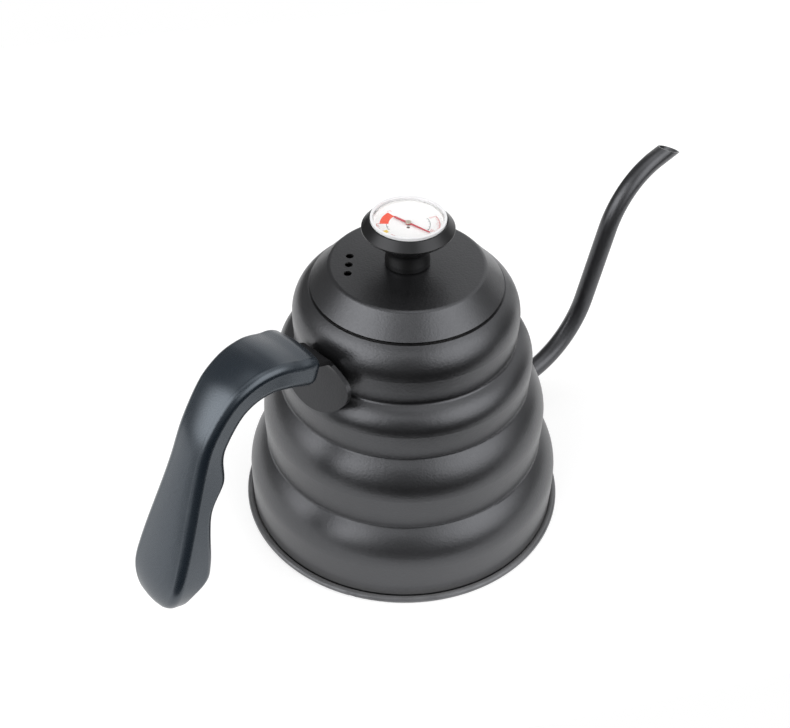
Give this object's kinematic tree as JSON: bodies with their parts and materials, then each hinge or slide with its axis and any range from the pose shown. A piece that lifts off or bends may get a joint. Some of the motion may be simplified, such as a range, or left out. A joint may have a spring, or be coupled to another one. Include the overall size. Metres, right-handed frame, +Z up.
{
  "type": "gooseneck kettle",
  "caption": "Stove-top pour-over kettle with a ringed vessel, slim curved spout, side grip handle and lift-off lid whose knob holds a dial thermometer with a probe.",
  "frame": {"origin": "on the resting surface, under the vessel's axis", "axes": "+X towards the spout, +Z up, the handle lies at -X"},
  "size_m": [0.3172, 0.1464, 0.1527],
  "materials": {
    "black_coat": "satin fine-grained black powder coat",
    "handle_plastic": "smooth satin black moulding",
    "knob_plastic": "satin black moulding",
    "steel": "brushed stainless",
    "seal_rubber": "matte silicone",
    "dial_white": "satin white enamel with printed scale",
    "lens_glass": "clear flat glass",
    "pointer_red": "satin red lacquer",
    "brass": "turned brass"
  },
  "bodies": {
    "kettle": {"body_shell": "black_coat", "base_plate": "black_coat", "gooseneck_spout": "black_coat", "spout_weld": "black_coat", "handle_bracket": "black_coat", "handle": "handle_plastic", "handle_screw": "steel", "handle_washer": "steel", "handle_insert": "brass"},
    "lid": {"lid_shell": "black_coat", "lid_collar": "steel", "knob": "knob_plastic", "knob_seal": "seal_rubber", "knob_washer": "steel", "knob_nut": "steel", "threaded_bush": "steel", "thermometer_case": "steel", "dial_plate": "dial_white", "dial_retainer": "steel", "lens_gasket": "seal_rubber", "lens": "lens_glass", "bezel_ring": "steel", "probe_tube": "steel", "probe_plug": "steel", "bimetal_coil": "brass", "lower_guide": "brass", "upper_guide": "brass"},
    "needle": {"pointer": "pointer_red", "pointer_hub": "brass", "spindle": "steel"}
  },
  "joints": [
    {"name": "lid_lift", "type": "slide", "parent": "kettle", "child": "lid", "axis": [0, 0, 1], "range_m": [0, 0.1]},
    {"name": "pointer_turn", "type": "hinge", "parent": "lid", "child": "needle", "pos_m": [0, 0, 0.1498], "axis": [0, 0, 1], "range_deg": [-195, 65]}
  ]
}
